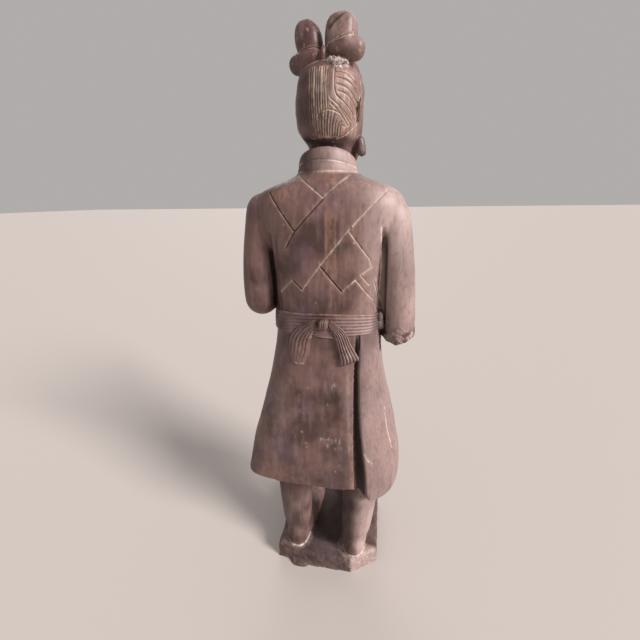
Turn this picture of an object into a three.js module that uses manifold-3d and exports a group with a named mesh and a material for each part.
// A standing robed warrior of fired clay, about 0.92 m tall, in two castings: the robed body with its arms, sash, legs,
// shoes and base plate, and the head, whose neck drops into a socket inside the collar.
// Millimetres, +Z up. The origin is on the underside of the base, below the figure's upright axis. The figure faces -Y,
// so its left hand is on the +X side and its back is on the +Y side.
import * as THREE from "three";
import { mergeVertices } from "three/addons/utils/BufferGeometryUtils.js";
import Module from "manifold-3d";

const wasm = await Module();
wasm.setup();

const { clamp, lerp, smoothstep, degToRad } = THREE.MathUtils;
const TAU = Math.PI * 2;
const LEFT = 1;
const RIGHT = -1;
const BACK = 1;
const FRONT = -1;

// ---- Driving dimensions ----
const BASE_HEIGHT = 35;
const BACK_HEM = 221;
const WRAP_HEM = 193;
const SASH_HEIGHT = 522;
const SASH_HALF = 16;
const NECK_BASE = 742;
const COLLAR_TOP = 762;
const COLLAR_SLOPE = 12;
const CLOTH_WALL = 14;
const HOLLOW_DEPTH = 46;
const SOCKET_RADIUS = 34.5;
const SOCKET_FLOOR = 724;
const SEAT_GAP = 0.3;
const NECK_RADIUS = 29;
const CROWN = 880;
const HEAD_TURN = degToRad(-12);
const SLEEVE_RADIUS = 28;
const STANCE = { [LEFT]: { ankle: 56, hem: 64 }, [RIGHT]: { ankle: 60, hem: 69 } };
const HEEL_BACK = 75;
const TOE_FRONT = -80;
const FACE = { chin: 757, mouth: 779, noseBase: 790, eyes: 817, brow: 827 };

// ---- Small helpers ----
const bell = (x, width) => Math.exp(-((x / width) ** 2));

/** A repeatable value from -1 to 1 for a place on the clay, for torn and chipped edges. */
function rough(a, b = 0) {
  const s = Math.sin(a * 12.9898 + b * 78.233) * 43758.5453;
  return 2 * (s - Math.floor(s)) - 1;
}

/** Smooth curves through stations [height, value, value, ...], as a function of height. */
function through(stations) {
  const slope = (from, to, k) => (to[k] - from[k]) / (to[0] - from[0]);
  return (height) => {
    const at = clamp(height, stations[0][0], stations.at(-1)[0]);
    const i = Math.min(stations.filter((s) => s[0] <= at).length, stations.length - 1) - 1;
    const [here, next] = [stations[i], stations[i + 1]];
    const before = stations[Math.max(i - 1, 0)];
    const after = stations[Math.min(i + 2, stations.length - 1)];
    const span = next[0] - here[0];
    const t = (at - here[0]) / span;
    return here.slice(1).map((value, n) => {
      const start = slope(before, next, n + 1) * span;
      const end = slope(here, after, n + 1) * span;
      const rise = next[n + 1] - value;
      return value + t * (start + t * (3 * rise - 2 * start - end + t * (start + end - 2 * rise)));
    });
  };
}

/** A closed skin of columns and rows. place(column, row, share) gives each point: column runs round the skin, row
 *  runs up it, and share is 1 on the wall and 0 at the middle of the two end faces. */
function skin(columns, rows, place) {
  const geometry = new THREE.CylinderGeometry(1, 1, 1, columns, rows);
  const at = geometry.attributes.position;
  for (let i = 0; i < at.count; i++) {
    const [x, y, z] = [at.getX(i), at.getY(i), at.getZ(i)];
    const turn = (Math.atan2(x, z) / TAU + 1) % 1;
    const p = place(Math.round(turn * columns) % columns, Math.round((y + 0.5) * rows), Math.hypot(x, z) < 0.5 ? 0 : 1);
    at.setXYZ(i, p.x, p.y, p.z);
  }
  return geometry;
}

/** A skin with evenly turned columns and the given row heights. place(angle, height, share, row) gives each point. */
function turned(columns, heights, place) {
  return skin(columns, heights.length - 1, (column, row, share) =>
    place((column / columns) * TAU, heights[row], share, row),
  );
}

const evenly = (count, from = 0, to = 1) => Array.from({ length: count + 1 }, (_, i) => lerp(from, to, i / count));

/** The distance from the middle to a rounded box outline of half sizes w and d, in a direction. */
function outline(angle, w, d, square) {
  const c = Math.abs(Math.cos(angle)) / w;
  const s = Math.abs(Math.sin(angle)) / d;
  return (c ** square + s ** square) ** (-1 / square);
}

/** An oval tube along a curve, with rounded ends. size(t) gives its half width and half depth. */
function limb(points, columns, rows, size, blunt = [1, 1]) {
  const curve = new THREE.CatmullRomCurve3(points.map((p) => new THREE.Vector3(...p)));
  const length = curve.getLength();
  const closing = (distance, reach) => Math.sqrt(1 - 0.93 * (1 - Math.min(1, distance / reach)) ** 2);
  return skin(columns, rows, (column, row, share) => {
    const t = 0.5 - 0.5 * Math.cos((row / rows) * Math.PI);
    const angle = (column / columns) * TAU;
    const [across, along] = size(t);
    const round = closing(t * length, across * blunt[0]) * closing((1 - t) * length, across * blunt[1]) * share;
    const ahead = curve.getTangentAt(t);
    const side = new THREE.Vector3(1, 0, 0).addScaledVector(ahead, -ahead.x).normalize();
    return curve
      .getPointAt(t)
      .addScaledVector(side, Math.cos(angle) * across * round)
      .addScaledVector(ahead.clone().cross(side), Math.sin(angle) * along * round);
  });
}

/** An ellipsoid at a place, turned by angles about X, Y and Z. */
function pebble(centre, radii, turn = [0, 0, 0], detail = [14, 9]) {
  return new THREE.SphereGeometry(1, ...detail)
    .rotateX(Math.PI / 2)
    .scale(...radii)
    .applyMatrix4(new THREE.Matrix4().makeRotationFromEuler(new THREE.Euler(...turn)))
    .translate(...centre);
}

/** A closed geometry as a manifold solid, for joining and cutting. */
function solid(geometry) {
  const bare = geometry.clone();
  bare.deleteAttribute("normal");
  bare.deleteAttribute("uv");
  const merged = mergeVertices(bare, 1e-3);
  return new wasm.Manifold(
    new wasm.Mesh({
      numProp: 3,
      vertProperties: new Float32Array(merged.attributes.position.array),
      triVerts: new Uint32Array(merged.index.array),
    }),
  );
}

const join = (geometries) => geometries.map(solid).reduce((all, next) => all.add(next));

/** A manifold solid as a named mesh. */
function meshOf(name, body, material) {
  const made = body.getMesh();
  const geometry = new THREE.BufferGeometry()
    .setAttribute("position", new THREE.BufferAttribute(new Float32Array(made.vertProperties), 3))
    .setIndex(new THREE.BufferAttribute(new Uint32Array(made.triVerts), 1));
  geometry.computeVertexNormals();
  const mesh = new THREE.Mesh(geometry, material);
  mesh.name = name;
  return mesh;
}

// ---- The robe: shoulders, back, chest and flared skirt ----
// Stations up the robe: height, half width to the left and to the right, depth behind the axis and in front of it, and
// how square the outline's left and right corners are.
const robeAt = through([
  [WRAP_HEM, 152, 126, 92, 96, 5.6, 2.7],
  [240, 147, 136, 89, 93, 5.0, 2.9],
  [285, 137, 132, 85, 88, 4.2, 3.0],
  [330, 125, 122, 80, 83, 3.6, 3.0],
  [372, 114, 111, 75, 79, 3.2, 3.0],
  [412, 104, 101, 70, 75, 2.9, 2.9],
  [445, 97, 95, 66, 71, 2.8, 2.8],
  [480, 91, 90, 62, 69, 2.6, 2.6],
  [SASH_HEIGHT, 87, 87, 58, 67, 2.5, 2.5],
  [560, 86, 86, 58, 66, 2.5, 2.5],
  [600, 87, 87, 61, 66, 2.5, 2.5],
  [635, 92, 92, 62.5, 65, 2.5, 2.5],
  [660, 103, 103, 62, 62, 2.4, 2.4],
  [682, 113, 113, 61, 59, 2.3, 2.3],
  [698, 116, 116, 59, 56, 2.3, 2.3],
  [710, 111, 111, 57, 53, 2.2, 2.2],
  [720, 99, 99, 54.5, 51, 2.2, 2.2],
  [729, 76, 76, 51, 49, 2.1, 2.1],
  [736, 56, 56, 46.5, 45, 2.0, 2.0],
  [NECK_BASE, 45, 45, 43, 41, 2.0, 2.0],
]);
const SKIRT_FOLDS = 7;
const FOLD_DEPTH = 4.5;

/** Soft upright folds in the skirt, which die away at the sash. They are shallowest on the middle of the back. */
function skirtFold(angle, z) {
  const low = smoothstep(480 - z, 0, 260);
  const plain = 1 - 0.85 * bell(1 - Math.sin(angle), 0.75);
  return FOLD_DEPTH * low * plain * Math.sin(SKIRT_FOLDS * angle + 0.8);
}

/** The sizes of the robe's quarter that lies towards x and y, at a height. */
function robeCorner(x, y, z) {
  const [left, right, back, front, squareLeft, squareRight] = robeAt(z);
  return { wide: x > 0 ? left : right, depth: y > 0 ? back : front, square: x > 0 ? squareLeft : squareRight };
}

/** A point of the robe's surface. out moves it away from the axis. */
function robePoint(angle, z, out = 0) {
  const { wide, depth, square } = robeCorner(Math.cos(angle), Math.sin(angle), z);
  const reach = outline(angle, wide, depth, square) + skirtFold(angle, z) + out;
  return new THREE.Vector3(Math.cos(angle) * reach, Math.sin(angle) * reach, z);
}

/** The direction of the point of the robe's back or front that is x to the side. */
function robeAngle(x, z, face = BACK) {
  const { wide, depth, square } = robeCorner(x, face, z);
  const across = clamp(x / wide, -0.999, 0.999);
  return Math.atan2(face * depth * (1 - Math.abs(across) ** square) ** (1 / square), across * wide);
}

// The robe wraps over the front and round the right side, and its free edge lies on the back. Beside that edge runs
// a groove that opens towards the hem. Stations: height, the edge's x, the groove's width, the groove's depth.
const freeEdgeAt = through([
  [WRAP_HEM, -63, 24, 24],
  [250, -59, 17, 17],
  [300, -57, 9, 13],
  [360, -55, 5, 10],
  [440, -54, 3, 7],
  [490, -54, 2, 4],
  [SASH_HEIGHT, -54, 2, 0],
  [560, -54, 2, 0],
]);
const FLAP_PROUD = 3;
const BACK_COLUMNS = 13;
const SIDE_COLUMNS = 18;
const GROOVE_LIP = 1;
const HEM_RISE = 15;

/** The robe's hem in a direction. The wrapped side hangs lowest at its free edge; on is 0 there and 1 at the left. */
function hemAt(angle, on = 1) {
  return lerp(WRAP_HEM, BACK_HEM, smoothstep(on, 0, 0.24)) + 1.5 * Math.sin(3 * angle + 1) * smoothstep(on, 0, 0.1);
}

/** One column of the robe at a height: its direction, its distance out, and the hem below it. */
function robeColumn(column, z) {
  const [x, width, depth] = freeEdgeAt(z);
  const edge = robeAngle(x, z);
  const flap = robeAngle(x - width - GROOVE_LIP, z);
  const past = column - BACK_COLUMNS;
  const back = (edge * column) / BACK_COLUMNS;
  if (past <= 0) return { angle: back, out: 0, hem: hemAt(back) };
  if (past === 1) return { angle: robeAngle(x - GROOVE_LIP, z), out: -depth, hem: BACK_HEM - 4 };
  if (past === 2) return { angle: robeAngle(x - width, z), out: -depth, hem: WRAP_HEM + 4 };
  const on = (past - 3) / (SIDE_COLUMNS - 2);
  const angle = lerp(flap, TAU, on);
  const proud = FLAP_PROUD * smoothstep(SASH_HEIGHT - z, 0, 60) * (1 - smoothstep(on, 0, 0.25));
  return { angle, out: proud, hem: hemAt(angle, on) };
}

function robe() {
  const heights = [
    BACK_HEM + 2, 240, 280, 325, 370, 415, 465, SASH_HEIGHT, 565, 605, 635, 660, 680, 697, 710, 720, 729, 736,
    NECK_BASE,
  ];
  const drop = (z, hem) => lerp(hem, z, smoothstep(z, BACK_HEM, 285) ** 0.5);
  return skin(BACK_COLUMNS + SIDE_COLUMNS + 1, heights.length - 1, (column, row, share) => {
    const level = row === 0 ? heights[0] : heights[row];
    const at = robeColumn(column, row === 0 ? WRAP_HEM + HEM_RISE : level);
    const z = row === 0 ? at.hem : drop(level, at.hem);
    const p = robePoint(at.angle, level, at.out);
    return share ? p.setZ(z) : p.set(0, 0, row === 0 ? BACK_HEM : NECK_BASE);
  });
}

/** The hollow under the skirt, inside a wall of cloth thickness. */
function underSkirt() {
  const heights = [WRAP_HEM - 30, WRAP_HEM, BACK_HEM + HOLLOW_DEPTH * 0.6, BACK_HEM + HOLLOW_DEPTH];
  const inset = [CLOTH_WALL, CLOTH_WALL, CLOTH_WALL + 4, CLOTH_WALL + 30];
  return turned(20, heights, (angle, z, share, row) => {
    const groove = 14 * bell(angle - robeAngle(-74, BACK_HEM), 0.25);
    const p = robePoint(angle, Math.max(z, WRAP_HEM), -inset[row] - groove);
    return p.set(p.x * share, p.y * share, z);
  });
}

// ---- Bands laid on the robe, and lines cut into it ----
/** A bar that follows the robe through the points [x, z] of a path, with half width half(t). It stands lift proud at
 *  its middle and is rooted sink deep; a bar that is cut away leaves a groove that deep. */
function bar(path, half, lift, sink, { face = BACK, columns = 6, rows = 4, phase = 0 } = {}) {
  const curve = new THREE.CatmullRomCurve3(path.map(([x, z]) => new THREE.Vector3(x, 0, z)));
  return skin(columns, rows, (column, row, share) => {
    const angle = (column / columns) * TAU + phase;
    const at = curve.getPointAt(row / rows);
    const ahead = curve.getTangentAt(row / rows);
    const across = Math.cos(angle) * half(row / rows) * share;
    const rise = Math.sin(angle) * share;
    const x = at.x + face * ahead.z * across;
    const z = at.z - face * ahead.x * across;
    return robePoint(robeAngle(x, z, face), z, rise * (rise > 0 ? lift : sink));
  });
}

// Lines cut into the back: a cape of crossed straps, with pointed ends.
const CUT_HALF = 1.5;
const CUT_DEPTH = 2.2;
const CUT_STEP = 40;
const BACK_CUTS = [
  [[34, 737], [-5, 708]],
  [[-38, 736], [39, 663], [54, 639]],
  [[80, 716], [39, 663]],
  [[-88, 716], [-40, 665], [1, 614], [29, 576]],
  [[-40, 665], [-70, 624], [-72, 612], [-58, 601], [-84, 568]],
  [[1, 614], [-31, 575], [-51, 594], [-75, 562], [-84, 541]],
  [[69, 568], [45, 591], [31, 577]],
];

function backCuts() {
  return BACK_CUTS.flatMap((line) =>
    line.slice(1).map((end, i) => {
      const rows = Math.ceil(Math.hypot(end[0] - line[i][0], end[1] - line[i][1]) / CUT_STEP);
      return bar([line[i], end], () => CUT_HALF * 2, 4, CUT_DEPTH, { columns: 3, rows, phase: -TAU / 4 });
    }),
  );
}

/** The crossed lapels on the chest, left over right. */
function lapels() {
  const half = () => 8;
  return [
    bar([[-34, 735], [-22, 700], [-2, 660]], half, 3, 5, { face: FRONT, columns: 4, rows: 3 }),
    bar([[34, 735], [22, 690], [-8, 620], [-38, 545]], half, 4.5, 5, { face: FRONT, columns: 4, rows: 6 }),
  ];
}

// ---- The sash and its bow ----
const SASH_FOLDS = 4;
const SASH_PROUD = 2.6;

function sash() {
  const rows = SASH_FOLDS * 2;
  return turned(28, evenly(rows, SASH_HEIGHT - SASH_HALF, SASH_HEIGHT + SASH_HALF), (angle, z, share, row) => {
    const ridge = row === 0 || row === rows ? -0.8 : row % 2;
    const p = robePoint(angle, z, 3 + SASH_PROUD * ridge);
    return p.set(p.x * share, p.y * share, z);
  });
}

/** The gathered side knot of the sash on the right. */
const sideKnot = () => pebble([-86, 8, SASH_HEIGHT - 2], [11, 22, 20], [0, 0.1, 0], [8, 5]);

function bow() {
  const top = SASH_HEIGHT;
  const loop = [[2, top + 4], [22, top + 3], [38, top - 14], [45, top - 38], [42, top - 56]];
  const tails = [[-6, top + 3], [-19, top - 10], [-30, top - 32], [-44, top - 58]];
  const tab = [[-2, top - 4], [-4, top - 17]];
  return [
    pebble([-3, 62, top + 1], [8, 12, 11], [0, 0, 0], [8, 6]),
    bar(loop, (t) => 5 + 8 * Math.sin(Math.PI * (0.15 + 0.75 * t)), 9, 6, { columns: 6, rows: 8 }),
    bar(tails, (t) => 7 + 8 * t, 9, 6, { columns: 6, rows: 5 }),
    bar(tab, (t) => 8 + 8 * t, 6, 5, { columns: 4, rows: 2 }),
  ];
}

// ---- Collar and its socket ----
/** The collar's rim slopes down to the front. */
const collarTop = (angle) => COLLAR_TOP + COLLAR_SLOPE * Math.sin(angle);

function collar() {
  const rise = [0, 0.5, 0.58, 0.66, 0.9, 1];
  const radius = [46.5, 45, 43, 43.5, 41, 38];
  return turned(24, rise, (angle, up, share, row) => {
    const reach = radius[row] * share * outline(angle, 1, 0.96, 2);
    const z = lerp(NECK_BASE - 18, share ? collarTop(angle) : COLLAR_TOP, up);
    return new THREE.Vector3(Math.cos(angle) * reach, Math.sin(angle) * reach, z);
  });
}

function neckSocket() {
  const depth = 100;
  return new THREE.CylinderGeometry(SOCKET_RADIUS, SOCKET_RADIUS - 1, depth, 24)
    .rotateX(Math.PI / 2)
    .translate(0, 0, SOCKET_FLOOR + depth / 2);
}

// ---- Arms ----
/** The left arm bends at the elbow, and its fist lies before the sash. */
function leftArm() {
  const swell = (t) => [SLEEVE_RADIUS + 1.5 * Math.sin(Math.PI * t), SLEEVE_RADIUS + 2];
  const sleeve = limb([[97, 3, 716], [106, 5, 665], [113, 8, 610], [116, 9, 560], [114, 8, 519]], 12, 8, swell);
  const taper = (t) => [SLEEVE_RADIUS - 1 - 3 * t, SLEEVE_RADIUS - 2 - 5 * t];
  const forearm = limb([[112, 20, 547], [101, -24, 548], [78, -58, 554], [50, -80, 562]], 10, 6, taper, [1, 0.25]);
  const fist = pebble([36, -87, 566], [19, 15, 17], [0, 0.2, 0.5], [10, 6]);
  const fingers = evenly(3, -10.5, 10.5).map((rise) => pebble([27, -96, 567 + rise], [13, 7, 4.6], [0, 0, 0.45], [6, 4]));
  const thumb = pebble([28, -89, 585], [12, 6, 5], [0, 0.1, 0.6], [6, 4]);
  return [sleeve, forearm, fist, ...fingers, thumb];
}

/** The right arm hangs down, and is broken off below the elbow in a torn, slanting stump. */
function rightArm() {
  const centre = through([[468, -119, -2], [500, -118, 0], [540, -115, 3], [590, -111, 5], [640, -104, 6], [700, -94, 4]]);
  const heights = [473, 479, 487, 513, 556, 605, 650, 690, 716];
  const torn = [0.35, 0.75, 0.96];
  return turned(12, heights, (angle, height, share, row) => {
    const jag = 14 * Math.abs(Math.cos(angle) - 0.1) + 4 * rough(row + 3, Math.round(angle * 9));
    const [x, y] = centre(height);
    const shoulder = Math.sqrt(1 - 0.92 * smoothstep(height, 670, 721) ** 2);
    const reach = SLEEVE_RADIUS * share * shoulder * (torn[row] ?? 1);
    const z = height + (row < torn.length ? jag * share : 0);
    return new THREE.Vector3(x + Math.cos(angle) * reach, y + Math.sin(angle) * reach * 1.06, z);
  });
}

// ---- Legs, shoes and base ----
function leg(side) {
  const size = through([[45, 23, 25], [80, 25, 27], [90, 28, 30], [130, 31, 33], [200, 35, 36], [290, 37, 38]]);
  const { ankle, hem } = STANCE[side];
  return turned(10, [45, 82, 90, 140, 200, 290], (angle, z, share) => {
    const [wide, deep] = size(z);
    const x = side * lerp(ankle, hem, clamp((z - 50) / 150, 0, 1));
    const y = lerp(HEEL_BACK - 29, 22, smoothstep(z, 50, 290));
    return new THREE.Vector3(x + Math.cos(angle) * wide * share, y + Math.sin(angle) * deep * share, z);
  });
}

/** A shoe, from heel to a squared, slightly lifted toe. Its stations run along the foot: share, half width, height. */
function shoe(side) {
  const shape = through([
    [0, 19, 30], [0.06, 27, 42], [0.3, 27, 46], [0.55, 28, 36], [0.8, 30, 24], [0.95, 30, 22], [1, 26, 20],
  ]);
  return turned(10, [0, 0.06, 0.25, 0.5, 0.75, 0.94, 1], (angle, along, share) => {
    const [wide, high] = shape(along);
    const up = Math.sin(angle) > 0 ? high * Math.sin(angle) ** 0.75 : 8 * Math.sin(angle);
    return new THREE.Vector3(
      side * (STANCE[side].ankle - 2 * along) + Math.cos(angle) * wide * share,
      lerp(HEEL_BACK, TOE_FRONT, along),
      BASE_HEIGHT + 2 + (up + 4 * smoothstep(along, 0.75, 1)) * share,
    );
  });
}

// The base plate's corners, seen from above: hand cut, with one corner at the back taken off.
const BASE_CORNERS = [[95, 78], [20, 86], [-58, 83], [-108, 50], [-104, -96], [-20, -102], [92, -96], [99, 0]];
const BASE_RAGGED = 1.6;

/** How far the base's outline is from the axis in a direction. */
function baseReach(angle) {
  const reaches = BASE_CORNERS.map(([x0, y0], i) => {
    const [x1, y1] = BASE_CORNERS[(i + 1) % BASE_CORNERS.length];
    const facing = (y1 - y0) * Math.cos(angle) + (x0 - x1) * Math.sin(angle);
    const reach = ((y1 - y0) * x0 + (x0 - x1) * y0) / facing;
    return reach > 0 ? reach : Infinity;
  });
  return Math.min(...reaches);
}

function basePlate() {
  return turned(32, [0, 8, 27, BASE_HEIGHT], (angle, z, share, row) => {
    const ragged = BASE_RAGGED * rough(angle * 3, row) - (z === BASE_HEIGHT ? 3 : 0);
    const reach = (baseReach(angle) + ragged) * share;
    return new THREE.Vector3(Math.cos(angle) * reach, Math.sin(angle) * reach, z);
  });
}

/** A lump of clay squeezed out under the base's back edge, flush with the underside. */
const baseLump = () => new THREE.CylinderGeometry(15, 20, 9, 8).rotateX(Math.PI / 2).scale(1, 0.5, 1).translate(47, 83, 4.5);

// ---- Head ----
// Stations up the head: height, side shift, half width, depth behind its axis, depth in front, squareness.
const headAt = through([
  [SOCKET_FLOOR + SEAT_GAP, 0, NECK_RADIUS, 29, 29, 2],
  [754, 0, NECK_RADIUS, 29, 29, 2],
  [758, 0, 29, 29, 40, 2.1],
  [765, -1, 31, 29, 47, 2.1],
  [774, -2, 32.5, 30, 50, 2.2],
  [784, -3, 37.5, 37, 51, 2.2],
  [797, -3, 41, 46, 51, 2.2],
  [815, -3, 42, 52, 50, 2.2],
  [832, -3, 42, 53, 49, 2.2],
  [850, -3, 40.5, 50, 47, 2.2],
  [862, -3, 38, 44, 42, 2.1],
  [872, -3, 32, 35, 34, 2],
  [CROWN, -3, 20, 22, 20, 2],
]);

/** How far the features of a calm, plain face stand forward at x to the side and height z. */
function faceRelief(x, z) {
  const aside = Math.abs(x);
  const bridge = lerp(4, 7.5, smoothstep(FACE.eyes - z, 0, 24));
  const noseLength = smoothstep(FACE.brow - z, -3, 32) * smoothstep(z, FACE.noseBase - 4, FACE.noseBase + 5);
  const nose = 13 * bell(x, bridge) * noseLength;
  const sockets = -5 * bell(aside - 17, 9) * bell(z - FACE.eyes - 1, 7);
  const lids = 3.6 * bell(aside - 17, 6.5) * bell(z - FACE.eyes, 3.4);
  const brows = 2.4 * bell(aside - 17, 13) * bell(z - FACE.brow - 2 + aside * 0.08, 4);
  const lips = 3.4 * bell(x, 11) * (bell(z - FACE.mouth - 3.2, 2.6) + bell(z - FACE.mouth + 3.4, 2.8));
  const whiskers = 2.2 * bell(x, 16) * bell(z - FACE.mouth - 8.5 + aside * 0.12, 3);
  const chin = 4 * bell(x, 13) * bell(z - FACE.chin - 8, 7);
  const cheeks = 2.2 * bell(aside - 24, 9) * bell(z - 800, 10);
  return nose + sockets + lids + brows + lips + whiskers + chin + cheeks;
}

const HAIR_TOP = 866;
const NAPE = 786;
const STRAND_DEPTH = 1.6;

/** The combed hair stands proud on the back of the head, with a groove between every two strands. */
function hairRelief(angle, z, column) {
  const behind = smoothstep(Math.sin(angle), 0.35, 0.6);
  const between = smoothstep(z, NAPE - 6, NAPE + 4) * (1 - smoothstep(z, HAIR_TOP, HAIR_TOP + 8));
  return behind * between * (2.2 - (column % 2 ? STRAND_DEPTH : 0));
}

function skull() {
  const columns = 32;
  const heights = [
    SOCKET_FLOOR + SEAT_GAP, 754, 758.5, 765, 772, 775.5, 779, 782.5, 786, 790, 795, 802, 809, 814, 818, 822, 828, 838,
    852, 864, 873, CROWN,
  ];
  return turned(columns, heights, (even, z, share) => {
    // Columns crowd towards the middles of the face and of the combed hair.
    const angle = even + 0.3 * Math.sin(2 * even);
    const [shift, wide, back, front, square] = headAt(z);
    const hair = hairRelief(angle, z, Math.round((even / TAU) * columns));
    const reach = outline(angle, wide, Math.sin(angle) > 0 ? back : front, square) + hair;
    const facing = smoothstep(-Math.sin(angle), 0.25, 0.7) * smoothstep(z, 752, 758);
    const x = Math.cos(angle) * reach;
    return new THREE.Vector3(shift + x, Math.sin(angle) * reach - faceRelief(x, z) * facing, z).multiply(
      new THREE.Vector3(share, share, 1),
    );
  });
}

const ear = (side) => pebble([side * 42 - 3, 2, 818], [5, 8, 15], [0, side * -0.12, side * 0.35], [6, 5]);

// The cap: a padded board over the crown, and at its back a roll and an upright lobe on each side.
const ROLLS = {
  [LEFT]: { path: [[-4, 30, 877], [16, 29, 876], [44, 15, 875]], inner: 8.5, outer: 13 },
  [RIGHT]: { path: [[-13, 30, 880], [-30, 27, 882], [-56, 13, 881]], inner: 8.5, outer: 14 },
};
const LOBES = {
  [LEFT]: { x: 18, y: 19, z: 898.5, wide: 18, deep: 16, high: 23.5, lean: 4, square: 2.2 },
  [RIGHT]: { x: -26, y: 17, z: 898, wide: 19.5, deep: 17, high: 23, lean: -1, square: 2.8 },
};

function lobe({ x, y, z, wide, deep, high, lean, square }) {
  const blunt = (v) => Math.sign(v) * Math.abs(v) ** (2 / square);
  const geometry = new THREE.SphereGeometry(1, 10, 8).rotateX(Math.PI / 2);
  const at = geometry.attributes.position;
  for (let i = 0; i < at.count; i++) {
    const up = blunt(at.getZ(i));
    at.setXYZ(i, x + blunt(at.getX(i)) * wide + lean * up, y + blunt(at.getY(i)) * deep, z + up * high);
  }
  return geometry;
}

function cap() {
  const board = capBoard();
  const tie = pebble([-9, 34, 877.5], [4, 6, 9], [0, 0, 0], [6, 4]);
  const horns = [LEFT, RIGHT].flatMap((side) => {
    const { path, inner, outer } = ROLLS[side];
    const swell = (t) => [lerp(inner, outer, t), lerp(inner, outer, t)];
    return [limb(path, 8, 6, swell), lobe(LOBES[side])];
  });
  return [board, tie, ...horns];
}

/** The cap's board: a padded slab over the crown, a little higher behind. */
function capBoard() {
  const inset = [0.8, 0.97, 1, 0.8];
  return turned(14, [864, 867, 875, 882], (angle, z, share, row) => {
    const reach = outline(angle, 36, Math.sin(angle) > 0 ? 34 : 49, 3) * inset[row] * share;
    const y = Math.sin(angle) * reach;
    return new THREE.Vector3(Math.cos(angle) * reach - 3, y, z + 0.1 * y);
  });
}

/** The strap that ties the cap on: from the temple, down before the ear, to under the chin. */
function strap(side) {
  const path = [[39, -14, 866], [43, -13, 838], [42, -14, 805], [38, -19, 780], [29, -33, 765], [14, -47, 757]];
  return limb(path.map(([x, y, z]) => [side * x - 3, y, z]), 5, 7, (t) => [4.5 + t, 6.5 + t]);
}

/** The strap's rough loose end at the right jaw, and a short beard under the lip. */
function loosePieces() {
  const end = limb([[-44, -14, 790], [-47, -13, 776], [-48, -12, 764]], 6, 4, (t) => [5 + 2 * t, 6.5 + t]);
  return [end, pebble([-3, -51, 760], [13, 8, 11], [0.25, 0, 0], [8, 6])];
}

// ---- Assembly ----
const bodyClay = new THREE.MeshStandardMaterial({ color: 0x5f4f49, roughness: 0.62, metalness: 0 });
const headClay = new THREE.MeshStandardMaterial({ color: 0x4a3530, roughness: 0.5, metalness: 0 });
bodyClay.name = "body_clay";
headClay.name = "head_clay";

function robedBody() {
  const cloth = join([robe()]).subtract(join([underSkirt()]));
  const upper = join([collar(), sash(), sideKnot(), ...bow(), ...lapels(), ...leftArm(), rightArm()]);
  const lower = join([basePlate(), baseLump(), ...[LEFT, RIGHT].flatMap((side) => [leg(side), shoe(side)])]);
  return cloth.add(upper).add(lower).subtract(join([neckSocket(), ...backCuts()]));
}

function head() {
  return join([skull(), ear(LEFT), ear(RIGHT), ...cap(), strap(LEFT), strap(RIGHT), ...loosePieces()]);
}

const warrior = new THREE.Group();
warrior.name = "standing_warrior";
warrior.add(meshOf("robed_body", robedBody(), bodyClay));
const turnedHead = new THREE.Group();
turnedHead.rotation.z = HEAD_TURN;
turnedHead.add(meshOf("head", head(), headClay));
warrior.add(turnedHead);

export default warrior;
